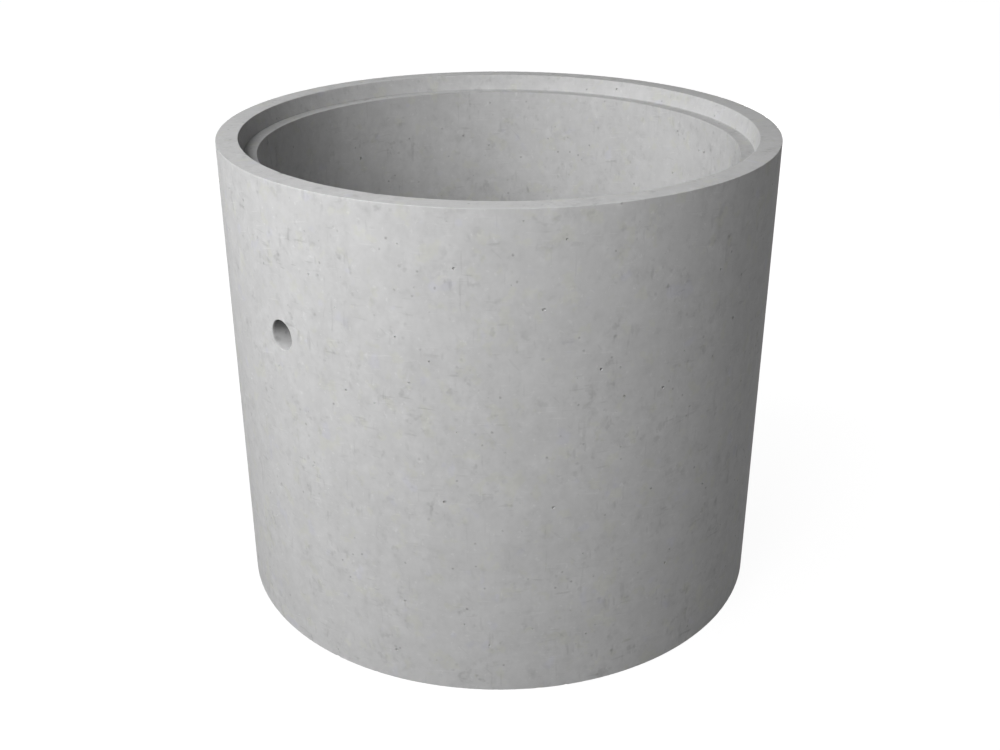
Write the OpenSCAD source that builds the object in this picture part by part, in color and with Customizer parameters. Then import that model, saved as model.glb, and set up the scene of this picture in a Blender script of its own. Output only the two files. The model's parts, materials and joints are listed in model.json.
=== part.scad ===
// Precast concrete culvert ring: one cast wall, round in plan, with a stepped seat inside its upper
// end and lifting holes straight through its side. It stands on Z = 0 with its bore along Z, and the
// first two lifting holes lie on the X axis. All sizes are in millimetres.

/* [Wall] */
// Diameter of the bore
bore_d = 1000; // [800:10:1500]
// Thickness of the wall
wall_t = 80; // [75:1:120]
// Height of the ring
ring_h = 1000; // [600:10:1500]

/* [Rebate in the upper end] */
// Width of the flat rim around the rebate
rim_w = 45; // [30:1:50]
// Depth of the ledge below the rim
rebate_depth = 35; // [20:1:60]
// How far the rebate's wall leans in on its way down to the ledge
rebate_lean = 8; // [0:0.5:10]

/* [Lifting holes] */
// Number of lifting holes, evenly spaced round the wall
hole_count = 2; // [2:1:4]
// Diameter of a lifting hole
hole_d = 60; // [30:1:90]
// Depth of the holes' axis below the rim
hole_drop = 300; // [150:10:400]

/* [Arrises] */
// Radius of the rounded arrises
arris_r = 1.5; // [1:0.5:5]

/* [Hidden] */
$fn = 180;

bore_r = bore_d / 2;
outer_r = bore_r + wall_t;
rim_r = outer_r - rim_w;           // rebate's radius at the rim
seat_r = rim_r - rebate_lean;      // rebate's radius at the ledge
ledge_z = ring_h - rebate_depth;
hole_z = ring_h - hole_drop;

arc_steps = 4;                     // chords in a rounded arris
overcut = 10;                      // a hole's cutter runs this far past both faces of the wall

// Corners of the wall's section, anticlockwise, each as [radius from the axis, height, edge radius]
section_corners = [
    [bore_r, 0, arris_r],
    [outer_r, 0, arris_r],
    [outer_r, ring_h, arris_r],
    [rim_r, ring_h, arris_r],
    [seat_r, ledge_z, 0],
    [bore_r, ledge_z, arris_r],
];

function unit(v) = v / norm(v);
function flat(c) = [c[0], c[1]];

// Points that round corner b, between its neighbours a and c, with an arc of radius r
function arris_arc(a, b, c, r) =
    let (
        to_a = unit(a - b),
        to_c = unit(c - b),
        half_angle = acos(to_a * to_c) / 2,
        centre = b + unit(to_a + to_c) * r / sin(half_angle),
        inward = unit(b - centre),
        sweep = 180 - 2 * half_angle
    )
    [for (i = [0 : arc_steps])
        let (turn = sweep * (i / arc_steps - 0.5))
        centre + r * [
            inward[0] * cos(turn) - inward[1] * sin(turn),
            inward[0] * sin(turn) + inward[1] * cos(turn)
        ]];

// The outline of a list of corners, with the edge radius of each one worked in
function rounded_outline(corners) =
    let (n = len(corners))
    [for (i = [0 : n - 1])
        let (
            b = corners[i],
            a = corners[(i + n - 1) % n],
            c = corners[(i + 1) % n]
        )
        each b[2] > 0 ? arris_arc(flat(a), flat(b), flat(c), b[2]) : [flat(b)]];

// The cast wall, turned from its section
module wall() {
    rotate_extrude()
        polygon(rounded_outline(section_corners));
}

// Cutter for one lifting hole, along +X at the holes' height
module lifting_hole() {
    translate([bore_r - overcut, 0, hole_z])
        rotate([0, 90, 0])
            cylinder(d = hole_d, h = wall_t + 2 * overcut);
}

module ring() {
    color("#bdbdbb")
        difference() {
            wall();
            for (i = [0 : hole_count - 1])
                rotate(i * 360 / hole_count)
                    lifting_hole();
        }
}

ring();
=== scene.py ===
"""Cast concrete culvert ring: its visible mesh, finish and a plain stage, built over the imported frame."""

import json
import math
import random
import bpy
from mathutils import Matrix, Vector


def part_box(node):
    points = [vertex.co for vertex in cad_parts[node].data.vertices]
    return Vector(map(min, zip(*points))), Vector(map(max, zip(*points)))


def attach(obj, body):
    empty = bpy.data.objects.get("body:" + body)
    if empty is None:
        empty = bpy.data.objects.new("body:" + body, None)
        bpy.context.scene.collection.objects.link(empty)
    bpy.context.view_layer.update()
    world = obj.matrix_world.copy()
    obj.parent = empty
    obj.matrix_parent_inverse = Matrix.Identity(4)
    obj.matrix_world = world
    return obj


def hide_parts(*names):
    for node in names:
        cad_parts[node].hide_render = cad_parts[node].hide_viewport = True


bl_info = {
    "name": "Concrete Culvert Ring",
    "version": (1, 0, 0),
    "blender": (4, 5, 0),
    "location": "View3D > Sidebar > Culvert Ring",
    "description": "Builds a cast concrete culvert ring over its packed frame, and a plain stage",
    "category": "Add Mesh",
}

import bmesh
import bpy
from bpy.props import FloatProperty, FloatVectorProperty, IntProperty, PointerProperty
from bpy.types import Operator, Panel, PropertyGroup
from mathutils import Matrix, Vector, noise

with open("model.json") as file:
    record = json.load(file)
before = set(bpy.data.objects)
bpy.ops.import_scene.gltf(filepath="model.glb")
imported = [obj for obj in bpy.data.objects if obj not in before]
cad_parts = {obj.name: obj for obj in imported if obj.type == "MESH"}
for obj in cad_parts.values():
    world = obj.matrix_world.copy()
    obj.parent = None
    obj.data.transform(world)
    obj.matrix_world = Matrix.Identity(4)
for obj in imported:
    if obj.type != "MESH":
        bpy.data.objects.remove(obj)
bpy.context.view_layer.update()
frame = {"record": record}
NODE = "ring"
MOUNTS = {mount["name"]: mount for mount in frame["record"]["mounts"]}
FLOOR_GAP = 0.0003  # the floor lies this far below the ring
CAMERA_SIDE = 225  # the camera's side of the ring, in degrees about its axis
VIEW_SENSOR = 36
VIEW_LENS = 43.57
VIEW_PLACE = (-1.7743, -1.7743, 1.5981)
VIEW_PITCH = 25.047  # degrees below level
VIEW_TURN = -45.0483  # degrees about the upright


def mount_radius(name):
    """Radius of a stated bore, in metres."""
    return MOUNTS[name]["dims"]["r_mm"] / 1000


def length(name, description, default):
    """A length that a user can change, in metres."""
    return FloatProperty(
        name=name, description=description, default=default, min=0, precision=4, unit="LENGTH"
    )


def share(name, description, default):
    """A plain number that a user can change."""
    return FloatProperty(name=name, description=description, default=default, min=0, precision=3)


def count(name, description, default, least=0):
    """A whole number that a user can change."""
    return IntProperty(name=name, description=description, default=default, min=least)


def watts(name, description, default):
    """A lamp's power that a user can change."""
    return FloatProperty(
        name=name, description=description, default=default, min=0, precision=1, unit="POWER"
    )


def tint(name, description, default):
    """A colour that a user can change."""
    return FloatVectorProperty(
        name=name, description=description, default=default, size=3, min=0, max=1, subtype="COLOR"
    )


# Sizes and looks that a user would change


class RingSizes(PropertyGroup):
    """Sizes of the cast ring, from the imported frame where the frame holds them."""

    outer_radius: length("Outer radius", "Radius of the outside wall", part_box(NODE)[1].x)
    height: length("Height", "Height of the ring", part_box(NODE)[1].z)
    bore_radius: length("Bore radius", "Radius of the bore", mount_radius("bore"))
    rim_width: length("Rim width", "Width of the flat rim around the rebate", 0.045)
    rebate_depth: length("Rebate depth", "Depth of the ledge below the rim", 0.035)
    rebate_lean: length("Rebate lean", "How far the rebate's wall leans in on its way down", 0.008)
    hole_radius: length("Hole radius", "Radius of each lifting hole", mount_radius("lifting_hole_left"))
    hole_height: length(
        "Hole height",
        "Height of the lifting holes' axis above the lower end",
        MOUNTS["lifting_hole_left"]["pos_m"][2],
    )
    arris: length("Arris radius", "Radius of the rounded arrises", 0.001)
    mouth: length("Mouth radius", "Radius of the rounded mouths of the lifting holes", 0.001)


class RingSurface(PropertyGroup):
    """How finely the ring is meshed, and the marks that casting left on it."""

    columns: count("Columns", "Columns of faces around the ring, a multiple of four", 304, least=16)
    row: length("Row height", "Height of a row of faces on the walls", 0.0125)
    hold: length("Holding strip", "Width of the strip that keeps each arris crisp", 0.001)
    seed: count("Seed", "Seed of the places of voids and chips", 7)
    unevenness: length("Unevenness", "How far the cast faces dip below their true place", 0.0005)
    voids: count("Air voids", "Number of air voids over the whole ring", 420)
    void_radius: length("Void radius", "Usual radius of an air void", 0.0016)
    raggedness: length("Raggedness", "How far the arrises are worn back here and there", 0.0006)
    chips: count("Chips", "Number of chips along each arris", 14)
    chip_length: length("Chip length", "Usual length of a chip along its arris", 0.008)
    chip_depth: length("Chip depth", "Usual depth of a chip", 0.001)


class ConcreteLook(PropertyGroup):
    """Colours and contrasts of the fair-faced concrete."""

    grey: tint("Grey", "Usual colour of the concrete", (0.604, 0.604, 0.605))
    laitance: tint("Laitance", "Colour of the yellowish patches", (0.606, 0.608, 0.583))
    slurry: tint("Slurry", "Colour of the few bluish patches", (0.6, 0.6, 0.625))
    clouding: share("Clouding", "Contrast of the light and dark clouds", 0.24)
    mottling: share("Mottling", "Contrast of the smaller blotches", 0.2)
    streaking: share("Streaking", "Contrast of the upright streaks", 0.03)
    smudging: share("Smudging", "Depth of the dark smudges", 0.07)
    flecking: share("Flecking", "Depth of the small dark flecks and dashes", 0.125)
    blooming: share("Blooming", "Height of the small light flecks", 0.09)
    pitting: share("Pitting", "Depth of the small dark pits", 0.18)
    pinholes: share("Pinholes", "Depth of the few darker pinholes", 0.36)
    # The rim's top face is made a little lighter all over.
    rim_lightening: share("Bleaching", "How much lighter the rim is", 0.015)
    # Painted shade: the ledge down in the rebate is darkened as though in shade.
    painted_shade: share("Grime", "Depth of the grime on the ledge", 0.15)
    # Painted shade under the crowns inside the lifting holes.
    painted_crown_shade: share("Soot", "Depth of the grime under the crowns of the lifting holes", 0.72)


class StageLook(PropertyGroup):
    """The floor and the lights."""

    floor_radius: length("Floor radius", "Radius of the floor", 30.0)
    floor_grey: tint("Floor", "Colour of the floor in the light that it throws back", (0.15, 0.15, 0.15))
    floor_sheen: tint("Floor in view", "Colour of the faint part that shows the shadow", (0.1, 0.1, 0.1))
    ambient: share("Ambient light", "Strength of the even light from all round", 0.02)
    key: watts("Key light", "Power of the broad light at the front left", 99)
    front: watts("Front light", "Power of the smaller light above and beyond it", 78)
    side: watts("Side light", "Power of the light at the left", 202)
    low: watts("Low light", "Power of the broad low light at the front left", 14)
    fill: watts("Fill light", "Power of the small low light at the right", 17)
    back: watts("Back light", "Power of the low light behind the ring", 105)


# The ring's mesh


def unique(items):
    """The items once each, in the order that they came."""
    return list(dict.fromkeys(items))


def edges_of(faces):
    """The edges of some faces, once each."""
    return unique(e for f in faces for e in f.edges)


def axis_distance(point):
    """Distance of a point from the bore's axis."""
    return math.hypot(point.x, point.y)


def section_corners(sizes):
    """Corners of the wall's half section, each a radius and a height, from the lower inside round."""
    rim_radius = sizes.outer_radius - sizes.rim_width
    ledge = sizes.height - sizes.rebate_depth
    return {
        "lower inside": (sizes.bore_radius, 0),
        "lower outside": (sizes.outer_radius, 0),
        "rim outside": (sizes.outer_radius, sizes.height),
        "rim inside": (rim_radius, sizes.height),
        "seat": (rim_radius - sizes.rebate_lean, ledge),
        "ledge inside": (sizes.bore_radius, ledge),
    }


def cast_section(bm, sizes, surface):
    """Draws the wall's half section in the XZ plane, with rounded arrises between holding strips."""
    corners = section_corners(sizes)
    verts = {name: bm.verts.new((x, 0, z)) for name, (x, z) in corners.items()}
    bm.faces.new(verts.values())
    bmesh.ops.bevel(
        bm,
        geom=[vert for name, vert in verts.items() if name != "seat"],
        offset=sizes.arris,
        offset_type="OFFSET",
        segments=2,
        profile=0.5,
        material=-1,
        affect="VERTICES",
    )
    bmesh.ops.delete(bm, geom=bm.faces[:], context="FACES_ONLY")
    for edge in [e for e in bm.edges if e.calc_length() > 4 * surface.hold]:
        ends = edge.verts[:]
        for vert in ends:
            straight = max(vert.link_edges, key=lambda e: e.calc_length())
            bmesh.utils.edge_split(straight, vert, surface.hold / straight.calc_length())
    bmesh.ops.bisect_plane(
        bm, geom=bm.verts[:] + bm.edges[:], plane_co=(0, 0, sizes.hole_height), plane_no=(0, 0, 1)
    )
    for edge in [e for e in bm.edges if e.calc_length() > 1.5 * surface.row]:
        cuts = round(edge.calc_length() / surface.row) - 1
        bmesh.ops.subdivide_edges(bm, edges=[edge], cuts=cuts)


def spin_wall(bm, surface):
    """Turns the half section once round the bore's axis."""
    bmesh.ops.spin(
        bm,
        geom=bm.verts[:] + bm.edges[:],
        cent=(0, 0, 0),
        axis=(0, 0, 1),
        dvec=(0, 0, 0),
        angle=math.tau,
        steps=surface.columns,
        use_merge=True,
        use_normal_flip=False,
        use_duplicate=False,
    )
    bmesh.ops.remove_doubles(bm, verts=bm.verts[:], dist=1e-6)
    bmesh.ops.recalc_face_normals(bm, faces=bm.faces[:])


def cut_mouth(bm, sizes, surface, radius, side):
    """Opens a round mouth in one face of the wall, and gives the edges of its rim."""
    cells = 4
    turn = cells * math.tau / surface.columns + 1e-5
    drop = (cells + 0.5) * surface.row

    def in_patch(vert):
        around = abs(math.atan2(vert.co.y, side * vert.co.x))
        on_wall = abs(axis_distance(vert.co) - radius) < surface.hold / 10
        return on_wall and around < turn and abs(vert.co.z - sizes.hole_height) < drop

    patch = [f for f in bm.faces if all(in_patch(v) for v in f.verts)]
    inside = set(patch)
    border = [e for e in edges_of(patch) if sum(f in inside for f in e.link_faces) == 1]
    bmesh.ops.delete(bm, geom=patch, context="FACES")
    bmesh.ops.bisect_edges(bm, edges=border, cuts=1)
    loop = [e for e in bm.edges if e.is_boundary and in_patch(e.verts[0]) and in_patch(e.verts[1])]
    steps = len(loop)
    for margin in (2 * sizes.mouth, 0):
        made = bmesh.ops.create_circle(
            bm,
            segments=steps,
            radius=sizes.hole_radius + margin,
            matrix=Matrix.Rotation(math.tau / 8, 4, "Z"),
        )["verts"]
        for vert in made:
            across, up = vert.co.x, vert.co.y
            vert.co = (side * math.sqrt(radius**2 - across**2), across, sizes.hole_height + up)
        rim = unique(e for v in made for e in v.link_edges)
        bmesh.ops.bridge_loops(bm, edges=loop + rim)
        loop = rim
    return rim


def bore_lifting_hole(bm, sizes, surface, side):
    """Takes one lifting hole straight through the wall and rounds its two mouths."""
    outer = cut_mouth(bm, sizes, surface, sizes.outer_radius, side)
    inner = cut_mouth(bm, sizes, surface, sizes.bore_radius, side)
    tube = bmesh.ops.bridge_loops(bm, edges=outer + inner)["faces"]
    mouths = set(outer + inner)
    lengthwise = [e for e in edges_of(tube) if e not in mouths]
    bmesh.ops.subdivide_edges(bm, edges=lengthwise, cuts=5, use_grid_fill=True)
    bmesh.ops.bevel(
        bm,
        geom=outer + inner,
        offset=sizes.mouth,
        offset_type="OFFSET",
        segments=2,
        profile=0.5,
        material=-1,
        affect="EDGES",
    )


def make_uneven(bm, surface):
    """Lets the cast faces dip a little below their true place, in broad and in smaller waves."""
    broad_waves = 5  # in a metre
    small_waves = 21
    bm.normal_update()
    for vert in bm.verts:
        broad = noise.noise(vert.co * broad_waves)
        small = noise.noise(vert.co * small_waves + Vector((3, 1, 2)))
        dip = 0.5 - 0.35 * broad - 0.15 * small
        vert.co -= vert.normal * surface.unevenness * min(max(dip, 0), 1)


def off_turn(point, angle):
    """The turn round the bore's axis between a point and an angle."""
    turn = math.atan2(point.y, point.x) - angle
    return abs((turn + math.pi) % math.tau - math.pi)


def wear_arris(bm, sizes, surface, rng, corner, inward):
    """Wears one arris back in a ragged line and knocks a few small chips out of it."""
    radius, height = corner
    reach = 1.5 * sizes.arris + surface.hold
    wear_waves = 90  # in a metre
    fine_waves = 240
    break_waves = 300

    def gap(point):
        return math.hypot(axis_distance(point) - radius, point.z - height)

    def runs_along(edge):
        first, second = (v.co for v in edge.verts)
        rise = abs(first.z - second.z)
        return rise + abs(axis_distance(first) - axis_distance(second)) < surface.hold / 4

    strip = [f for f in bm.faces if gap(f.calc_center_median()) < reach]
    along = [e for e in edges_of(strip) if runs_along(e)]
    bmesh.ops.subdivide_edges(bm, edges=along, cuts=2, use_grid_fill=True)
    chips = []
    for _ in range(surface.chips):
        half = surface.chip_length * rng.uniform(0.3, 0.8)
        angle = rng.uniform(-math.pi, math.pi)
        depth = surface.chip_depth * rng.uniform(0.4, 1.6)
        chips.append((angle, half / radius, depth))
    for vert in [v for v in bm.verts if gap(v.co) < reach]:
        worn = noise.noise(vert.co * wear_waves) + 0.6 * noise.noise(vert.co * fine_waves)
        bite = surface.raggedness * max(worn - 0.1, 0)
        broken = 1 + 0.6 * noise.noise(vert.co * break_waves)
        for angle, half, depth in chips:
            away = off_turn(vert.co, angle) / half
            bite += depth * max(1 - away**2, 0) * broken
        outward = Vector((vert.co.x, vert.co.y, 0)).normalized()
        aim = outward * inward[0] + Vector((0, 0, inward[1]))
        vert.co += aim * bite * (1 - gap(vert.co) / reach)


def wear_arrises(bm, sizes, surface, rng):
    """Wears the five arrises, each towards the solid behind it."""
    corners = section_corners(sizes)
    for name, inward in (
        ("rim outside", (-1, -1)),
        ("rim inside", (1, -1)),
        ("ledge inside", (1, -1)),
        ("lower outside", (-1, 1)),
        ("lower inside", (1, 1)),
    ):
        wear_arris(bm, sizes, surface, rng, corners[name], inward)


def bearing(arm, across, upright):
    """The angle of an arm from across towards upright, from a little below nought."""
    start = 0.3  # between two corners of a void, so that rounding can't change their order
    return (math.atan2(arm.dot(upright), arm.dot(across)) + start) % math.tau - start


def open_voids(bm, surface, rng):
    """Lets small air voids into the cast faces, each a round hollow within one face of the mesh."""
    least = 0.7 * surface.row
    cast = [f for f in bm.faces if len(f.verts) == 4 and min(e.calc_length() for e in f.edges) > least]
    # By place, because the order in which the mesh stores its faces changes from run to run
    cast.sort(key=lambda face: sorted(v.co[:] for v in face.verts))
    chosen = rng.sample(cast, min(surface.voids, len(cast)))
    bmesh.ops.inset_individual(bm, faces=chosen, thickness=0.25 * surface.row, use_even_offset=True)
    bmesh.ops.bisect_edges(bm, edges=edges_of(chosen), cuts=1)
    shapes = []
    for face in chosen:
        normal = face.normal.copy()
        middle = face.calc_center_median()
        across = Vector((-middle.y, middle.x, 0)).normalized()
        upright = normal.cross(across)
        radius = surface.void_radius * math.exp(rng.gauss(0, 0.4))
        radius = min(max(radius, 0.5 * surface.void_radius), 2.2 * surface.void_radius)
        stretch = rng.uniform(0.9, 1.1)
        room = max(0.42 * surface.row - 1.4 * radius, 0)
        place = middle + across * rng.uniform(-room, room) + upright * rng.uniform(-room, room)
        bearings = {v: bearing(v.co - middle, across, upright) for v in face.verts}
        for vert, turn in sorted(bearings.items(), key=lambda pair: pair[1]):
            wobble = radius * rng.uniform(0.85, 1.15)
            sideways = across * math.cos(turn) * wobble * stretch
            upwards = upright * math.sin(turn) * wobble / stretch
            vert.co = place + sideways + upwards
        shapes.append((place, normal, radius * rng.uniform(1.2, 2)))
    lip = 0.1 * surface.void_radius
    bmesh.ops.inset_individual(bm, faces=chosen, thickness=lip, use_even_offset=True)
    for face, (place, normal, depth) in zip(chosen, shapes):
        for vert in face.verts:
            vert.co = place + (vert.co - place) * 0.8 - normal * 0.75 * depth
    bmesh.ops.poke(bm, faces=chosen, offset=-0.3 * surface.void_radius, center_mode="MEAN")


def shade_cast_faces(bm):
    """Shades the cast faces smooth, and leaves the sharp corners and the rims of the voids crisp."""
    crisp = math.radians(40)
    for face in bm.faces:
        face.smooth = True
    for edge in bm.edges:
        edge.smooth = edge.calc_face_angle(0) < crisp


def ring_mesh(sizes, surface):
    """The whole cast ring as one closed mesh."""
    rng = random.Random(surface.seed)
    bm = bmesh.new()
    cast_section(bm, sizes, surface)
    spin_wall(bm, surface)
    for side in (1, -1):
        bore_lifting_hole(bm, sizes, surface, side)
    bmesh.ops.recalc_face_normals(bm, faces=bm.faces[:])
    make_uneven(bm, surface)
    wear_arrises(bm, sizes, surface, rng)
    bm.normal_update()
    open_voids(bm, surface, rng)
    bm.normal_update()
    shade_cast_faces(bm)
    data = bpy.data.meshes.new("cast_ring")
    bm.to_mesh(data)
    bm.free()
    return data


# Materials


class Number:
    """A number in a node tree. Arithmetic on it adds Math nodes."""

    def __init__(self, tree, socket):
        self.tree = tree
        self.socket = socket

    def math(self, operation, first, second):
        return self.tree.add("ShaderNodeMath", {"operation": operation}, {0: first, 1: second})

    def __add__(self, other):
        return self.math("ADD", self, other)

    def __radd__(self, other):
        return self.math("ADD", other, self)

    def __sub__(self, other):
        return self.math("SUBTRACT", self, other)

    def __rsub__(self, other):
        return self.math("SUBTRACT", other, self)

    def __mul__(self, other):
        return self.math("MULTIPLY", self, other)

    def __rmul__(self, other):
        return self.math("MULTIPLY", other, self)

    def __truediv__(self, other):
        return self.math("DIVIDE", self, other)

    def __rtruediv__(self, other):
        return self.math("DIVIDE", other, self)


class Sheet:
    """The node tree of one material or world."""

    def __init__(self, owner):
        owner.use_nodes = True
        self.nodes = owner.node_tree.nodes
        self.links = owner.node_tree.links
        self.nodes.clear()

    def add(self, kind, settings=None, sockets=None, output=0):
        """Adds a node, its settings first and then its sockets' values or links, and gives an output."""
        node = self.nodes.new(kind)
        for key, value in (settings or {}).items():
            if key == "stops":
                self.set_stops(node.color_ramp, value)
            else:
                setattr(node, key, value)
        for key, value in (sockets or {}).items():
            target = node.inputs[key] if isinstance(key, int) else self.socket(node, key)
            if isinstance(value, Number):
                self.links.new(value.socket, target)
            else:
                target.default_value = value
        return Number(self, node.outputs[output]) if node.outputs else None

    @staticmethod
    def socket(node, key):
        """The socket of that identifier, or else the first of that name."""
        by_identifier = [s for s in node.inputs if s.identifier == key]
        return (by_identifier or [s for s in node.inputs if s.name == key])[0]

    @staticmethod
    def set_stops(ramp, stops):
        """Sets a colour ramp's stops, each a place and a grey."""
        while len(ramp.elements) > 1:
            ramp.elements.remove(ramp.elements[-1])
        for index, (place, grey) in enumerate(stops):
            stop = ramp.elements[0] if index == 0 else ramp.elements.new(place)
            stop.position = place
            stop.color = (grey, grey, grey, 1)

    def blend(self, factor, first, second):
        """Mixes two colours."""
        return self.add(
            "ShaderNodeMix",
            {"data_type": "RGBA"},
            {"Factor_Float": factor, "A_Color": first, "B_Color": second},
            output=2,
        )

    def place(self):
        """The object's own coordinates."""
        return self.add("ShaderNodeTexCoord", output="Object")

    def stretched(self, scale, shift=(0, 0, 0), slant=(0, 0, 0)):
        """The object's own coordinates, turned by a slant and then stretched along the axes."""
        turned = self.add("ShaderNodeMapping", sockets={"Vector": self.place(), "Rotation": slant})
        return self.add("ShaderNodeMapping", sockets={"Vector": turned, "Scale": scale, "Location": shift})

    def speckle(self, scale, detail, roughness, stretch=(1, 1, 1), shift=(0, 0, 0), slant=(0, 0, 0)):
        """Smooth noise in the object's own coordinates, about 0.5 on average."""
        return self.add(
            "ShaderNodeTexNoise",
            sockets={
                "Vector": self.stretched(stretch, shift, slant),
                "Scale": scale,
                "Detail": detail,
                "Roughness": roughness,
            },
        )

    def spots(self, scale, reach, shift=(0, 0, 0)):
        """Scattered round spots: one at the middle of a spot and nought outside it."""
        place = self.stretched((1, 1, 1), shift)
        wander = (0.004, 0.004, 0.004)
        stir = self.add(
            "ShaderNodeTexNoise", sockets={"Vector": place, "Scale": 190, "Detail": 2}, output="Color"
        )
        bent = self.add(
            "ShaderNodeVectorMath",
            {"operation": "MULTIPLY_ADD"},
            {0: stir, 1: wander, 2: place},
        )
        near = self.add(
            "ShaderNodeTexVoronoi", sockets={"Vector": bent, "Scale": scale}, output="Distance"
        )
        return self.ramp(near, ((0.3 * reach, 1), (reach, 0)))

    def off_axis(self):
        """The distance from the bore's axis, in metres."""
        level = self.stretched((1, 1, 0))
        return self.add("ShaderNodeVectorMath", {"operation": "LENGTH"}, {0: level}, output="Value")

    def off_hole(self, height):
        """The distance from the axis of the lifting holes, in metres."""
        around = self.stretched((0, 1, 1), (0, 0, -height))
        return self.add("ShaderNodeVectorMath", {"operation": "LENGTH"}, {0: around}, output="Value")

    def less(self, first, second):
        """One where the first number is less than the second, and nought elsewhere."""
        return self.add("ShaderNodeMath", {"operation": "LESS_THAN"}, {0: first, 1: second})

    def height(self):
        """The height above the lower end, in metres."""
        return self.add("ShaderNodeSeparateXYZ", sockets={0: self.place()}, output="Z")

    def level_with(self, height, margin):
        """One close to a height above the lower end, and nought elsewhere."""
        inputs = {0: self.height(), 1: height, 2: margin}
        return self.add("ShaderNodeMath", {"operation": "COMPARE"}, inputs)

    def ramp(self, factor, stops):
        """A grey that follows a number between stops."""
        return self.add("ShaderNodeValToRGB", {"stops": stops}, {"Fac": factor})


def solid(colour):
    """A colour with its alpha."""
    return (*colour, 1)


def dark_flecks(sheet, crowd):
    """Small dark dabs, dashes and strokes that crowd in places, and a few thin scrapes all over."""
    dabs = sheet.ramp(sheet.speckle(46, 2, 0.55, shift=(2, 8, 5)), ((0.61, 0), (0.7, 1)))
    dashes = sheet.ramp(
        sheet.speckle(82, 1, 0.5, stretch=(1, 1, 0.3), shift=(1, 6, 9)), ((0.66, 0), (0.75, 1))
    )
    strokes = sheet.ramp(
        sheet.speckle(78, 1, 0.5, stretch=(0.3, 0.3, 1.6), shift=(8, 4, 2)), ((0.67, 0), (0.76, 1))
    )
    upright = sheet.ramp(
        sheet.speckle(125, 1, 0.5, stretch=(1, 1, 0.08), shift=(3, 7, 4)), ((0.71, 0), (0.77, 1))
    )
    slanted = sheet.ramp(
        sheet.speckle(130, 1, 0.5, stretch=(1, 1, 0.1), shift=(4, 1, 6), slant=(0.6, 0.5, 0)),
        ((0.73, 0), (0.78, 1)),
    )
    return (dabs + dashes + strokes) * crowd + (upright + slanted) * 0.5


def light_flecks(sheet):
    """Small light flecks, and thin scuffs that lie nearly level."""
    flecks = sheet.ramp(sheet.speckle(95, 2, 0.5, shift=(5, 3, 1)), ((0.65, 0), (0.74, 1)))
    scuffs = sheet.ramp(
        sheet.speckle(150, 1, 0.5, stretch=(0.12, 0.12, 1.4), shift=(6, 2, 3), slant=(0.2, -0.2, 0)),
        ((0.68, 0), (0.76, 1)),
    )
    return flecks + scuffs * 0.6


def hole_crown_shade(sheet, sizes):
    """Painted shade inside each lifting hole: grows towards the crown, and is nought outside the holes."""
    slack = 0.0009  # the uneven wall of a hole stands up to this far past its true radius
    deep = sheet.ramp((sizes.outer_radius - sheet.off_axis()) * 10, ((0.01, 0), (0.06, 1)))
    bored = sheet.less(sheet.off_hole(sizes.hole_height), sizes.hole_radius + slack) * deep
    rise = (sheet.height() - sizes.hole_height) / sizes.hole_radius
    return bored * sheet.ramp((rise + 1) / 2, ((0, 0.16), (0.35, 0.2), (0.85, 1)))


def tinted_grey(sheet, look):
    """The concrete's grey with its yellowish and bluish patches."""
    warm = sheet.ramp(sheet.speckle(24, 3, 0.6, shift=(11, 5, 3)), ((0.57, 0), (0.64, 1)))
    cool = sheet.ramp(sheet.speckle(20, 2, 0.5, shift=(2, 17, 8)), ((0.65, 0), (0.71, 1)))
    patched = sheet.blend(warm, solid(look.grey), solid(look.laitance))
    return sheet.blend(cool, patched, solid(look.slurry))


def concrete(look, sizes):
    """Fair-faced concrete: a tinted grey with clouds, streaks, smudges, flecks, pits and pinholes; painted
    shade darkens the ledge and the crowns of the lifting holes.
    """
    material = bpy.data.materials.new("concrete")
    sheet = Sheet(material)
    on_face = 0.0012  # how far from a level face still counts as on it
    ledge = sizes.height - sizes.rebate_depth
    mid_rim = sizes.outer_radius - sizes.rim_width / 2
    clouds = sheet.speckle(11, 4, 0.8)
    mottle = sheet.speckle(36, 2, 0.8, shift=(13, 2, 6))
    streaks = sheet.speckle(60, 2, 0.6, stretch=(1, 1, 0.12), shift=(3, 9, 1))
    crowd = sheet.ramp(sheet.speckle(12, 2, 0.5, shift=(9, 9, 2)), ((0.42, 0.15), (0.62, 1)))
    smudges = sheet.ramp(sheet.speckle(34, 3, 0.6, shift=(6, 1, 13)), ((0.58, 0), (0.7, 1)))
    flecks = dark_flecks(sheet, crowd)
    blooms = light_flecks(sheet)
    pits = sheet.spots(28, 0.13) * crowd
    holes = sheet.spots(26, 0.085, shift=(7, 2, 4))
    crest = sheet.level_with(sizes.height, on_face)
    # The ledge's level face inside the rim, darkened below as painted shade in the rebate.
    seat = sheet.level_with(ledge, on_face) * sheet.less(sheet.off_axis(), mid_rim)
    tone = (
        1
        + (clouds - 0.5) * look.clouding
        + (mottle - 0.5) * (crowd + 0.5) * look.mottling
        + (streaks - 0.5) * look.streaking
        - smudges * look.smudging
        - flecks * look.flecking
        + blooms * look.blooming
        - pits * look.pitting
        - holes * look.pinholes
        # the rim's top face a little lighter
        + crest * look.rim_lightening
        # painted shade on the ledge in the rebate
        - seat * look.painted_shade
        # painted shade under the crowns of the lifting holes
        - hole_crown_shade(sheet, sizes) * look.painted_crown_shade
    )
    grey = tinted_grey(sheet, look)
    colour = sheet.add("ShaderNodeVectorMath", {"operation": "SCALE"}, {"Vector": grey, "Scale": tone})
    relief = blooms * 0.5 - flecks * 0.5 - smudges * 0.4 - pits
    bump = sheet.add("ShaderNodeBump", sockets={"Strength": 0.45, "Distance": 0.0008, "Height": relief})
    bsdf = sheet.add(
        "ShaderNodeBsdfPrincipled",
        sockets={
            "Base Color": colour,
            "Roughness": 0.8 + (clouds - 0.5) * 0.3,
            "Specular IOR Level": 0.08,
            "Normal": bump,
        },
    )
    sheet.add("ShaderNodeOutputMaterial", sockets={"Surface": bsdf})
    return material


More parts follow.
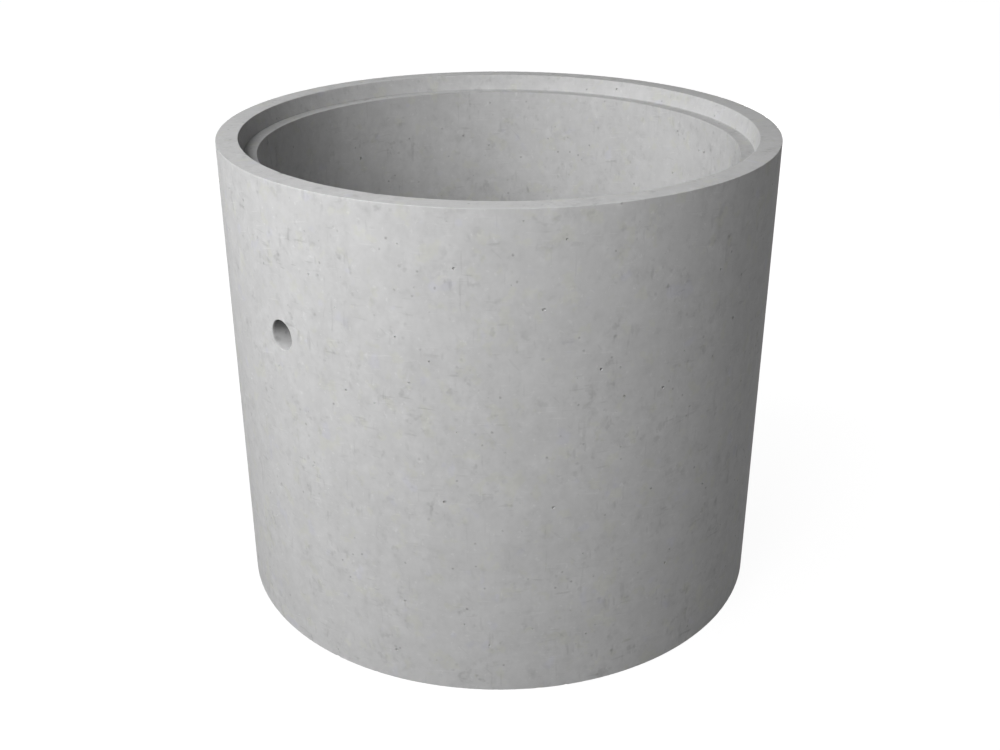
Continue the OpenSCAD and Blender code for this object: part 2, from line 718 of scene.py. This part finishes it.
class MESH_OT_culvert_ring_add(Operator):
    """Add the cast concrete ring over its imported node"""

    bl_idname = "mesh.culvert_ring_add"
    bl_label = "Add Culvert Ring"

    def execute(self, context):
        scene = context.scene
        data = ring_mesh(scene.ring_sizes, scene.ring_surface)
        data.materials.append(concrete(scene.concrete_look, scene.ring_sizes))
        ring = bpy.data.objects.new("cast_ring", data)
        scene.collection.objects.link(ring)
        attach(ring, "root")
        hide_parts(NODE)
        return {"FINISHED"}


# The stage


def seen_directly(sheet):
    """One where the camera sees a surface straight, mirrored or through glass, and nought elsewhere."""
    straight = sheet.add("ShaderNodeLightPath", output="Is Camera Ray")
    reflected = sheet.add("ShaderNodeLightPath", output="Is Glossy Ray")
    through = sheet.add("ShaderNodeLightPath", output="Is Transmission Ray")
    return straight + reflected + through


def floor_paint(look):
    """A floor that shows white apart from the shadow near the ring, and is clear from below."""
    material = bpy.data.materials.new("floor_paint")
    sheet = Sheet(material)
    thrown = sheet.add("ShaderNodeBsdfDiffuse", sockets={"Color": solid(look.floor_grey)})
    faint = sheet.add("ShaderNodeBsdfDiffuse", sockets={"Color": solid(look.floor_sheen)})
    white = sheet.ramp(sheet.off_axis() / 2, ((0.3, 0.95), (0.8, 1)))
    glow = sheet.add("ShaderNodeEmission", sockets={"Color": white, "Strength": 1.0})
    lit = sheet.add("ShaderNodeAddShader", sockets={0: glow, 1: faint})
    shown = sheet.add("ShaderNodeMixShader", sockets={0: seen_directly(sheet), 1: thrown, 2: lit})
    below = sheet.add("ShaderNodeNewGeometry", output="Backfacing")
    clear = sheet.add("ShaderNodeBsdfTransparent")
    either = sheet.add("ShaderNodeMixShader", sockets={0: below, 1: shown, 2: clear})
    sheet.add("ShaderNodeOutputMaterial", sockets={"Surface": either})
    return material


def even_light(look):
    """Even light from all round, which shows white behind the ring."""
    world = bpy.data.worlds.new("even_light")
    sheet = Sheet(world)
    white = solid((1, 1, 1))
    dim = sheet.add("ShaderNodeBackground", sockets={"Color": white, "Strength": look.ambient})
    bright = sheet.add("ShaderNodeBackground", sockets={"Color": white, "Strength": 1.0})
    shown = sheet.add("ShaderNodeMixShader", sockets={0: seen_directly(sheet), 1: dim, 2: bright})
    sheet.add("ShaderNodeOutputWorld", sockets={"Surface": shown})
    return world


def add_lamp(scene, name, power, reach, width, height, turn):
    """A round lamp that looks at the middle of the ring, raised and turned from the camera's side."""
    middle = Vector((0, 0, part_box(NODE)[1].z / 2))
    around = math.radians(CAMERA_SIDE + turn)
    up = math.radians(height)
    away = Vector((math.cos(around) * math.cos(up), math.sin(around) * math.cos(up), math.sin(up)))
    light = bpy.data.lights.new(name, "AREA")
    light.shape = "DISK"
    light.size = width
    light.energy = power
    lamp = bpy.data.objects.new(name, light)
    lamp.location = middle + away * reach
    lamp.rotation_euler = away.to_track_quat("Z", "Y").to_euler()
    scene.collection.objects.link(lamp)


def add_floor(scene, look):
    """A round floor under the ring, a hair below it."""
    bm = bmesh.new()
    bmesh.ops.create_circle(bm, cap_ends=True, segments=64, radius=look.floor_radius)
    bmesh.ops.translate(bm, verts=bm.verts[:], vec=(0, 0, -FLOOR_GAP))
    data = bpy.data.meshes.new("floor")
    bm.to_mesh(data)
    bm.free()
    data.materials.append(floor_paint(look))
    floor = bpy.data.objects.new("floor", data)
    scene.collection.objects.link(floor)


class SCENE_OT_culvert_stage_add(Operator):
    """Add the floor, the lights and the camera"""

    bl_idname = "scene.culvert_stage_add"
    bl_label = "Add Stage"

    def execute(self, context):
        scene = context.scene
        look = scene.stage_look
        scene.view_settings.view_transform = "Standard"
        scene.world = even_light(look)
        add_floor(scene, look)
        add_lamp(scene, "key", look.key, reach=4, width=3, height=35, turn=-30)
        add_lamp(scene, "front", look.front, reach=8, width=2, height=45, turn=-30)
        add_lamp(scene, "side", look.side, reach=8, width=2, height=45, turn=-85)
        add_lamp(scene, "low", look.low, reach=4, width=3, height=15, turn=-45)
        add_lamp(scene, "fill", look.fill, reach=4, width=0.6, height=3, turn=60)
        add_lamp(scene, "back", look.back, reach=5, width=1, height=0, turn=168)
        camera = bpy.data.cameras.new("view")
        camera.lens = VIEW_LENS
        camera.sensor_width = VIEW_SENSOR
        holder = bpy.data.objects.new("view", camera)
        holder.location = VIEW_PLACE
        holder.rotation_euler = (math.radians(90 - VIEW_PITCH), 0, math.radians(VIEW_TURN))
        scene.collection.objects.link(holder)
        scene.camera = holder
        return {"FINISHED"}


class VIEW3D_PT_culvert_ring(Panel):
    """Sizes, looks and buttons of the culvert ring"""

    bl_label = "Culvert Ring"
    bl_idname = "VIEW3D_PT_culvert_ring"
    bl_space_type = "VIEW_3D"
    bl_region_type = "UI"
    bl_category = "Culvert Ring"

    def draw(self, context):
        scene = context.scene
        for groups, operator in (
            ((scene.ring_sizes, scene.ring_surface, scene.concrete_look), MESH_OT_culvert_ring_add),
            ((scene.stage_look,), SCENE_OT_culvert_stage_add),
        ):
            column = self.layout.column(align=True)
            for group in groups:
                for name in group.__annotations__:
                    column.prop(group, name)
            column.operator(operator.bl_idname)


GROUPS = {
    "ring_sizes": RingSizes,
    "ring_surface": RingSurface,
    "concrete_look": ConcreteLook,
    "stage_look": StageLook,
}
CLASSES = (*GROUPS.values(), MESH_OT_culvert_ring_add, SCENE_OT_culvert_stage_add, VIEW3D_PT_culvert_ring)


def register():
    for cls in CLASSES:
        bpy.utils.register_class(cls)
    for name, group in GROUPS.items():
        setattr(bpy.types.Scene, name, PointerProperty(type=group))


def unregister():
    for name in GROUPS:
        delattr(bpy.types.Scene, name)
    for cls in reversed(CLASSES):
        bpy.utils.unregister_class(cls)


def main():
    register()
    bpy.ops.mesh.culvert_ring_add()
    bpy.ops.scene.culvert_stage_add()


if __name__ == "__main__":
    main()
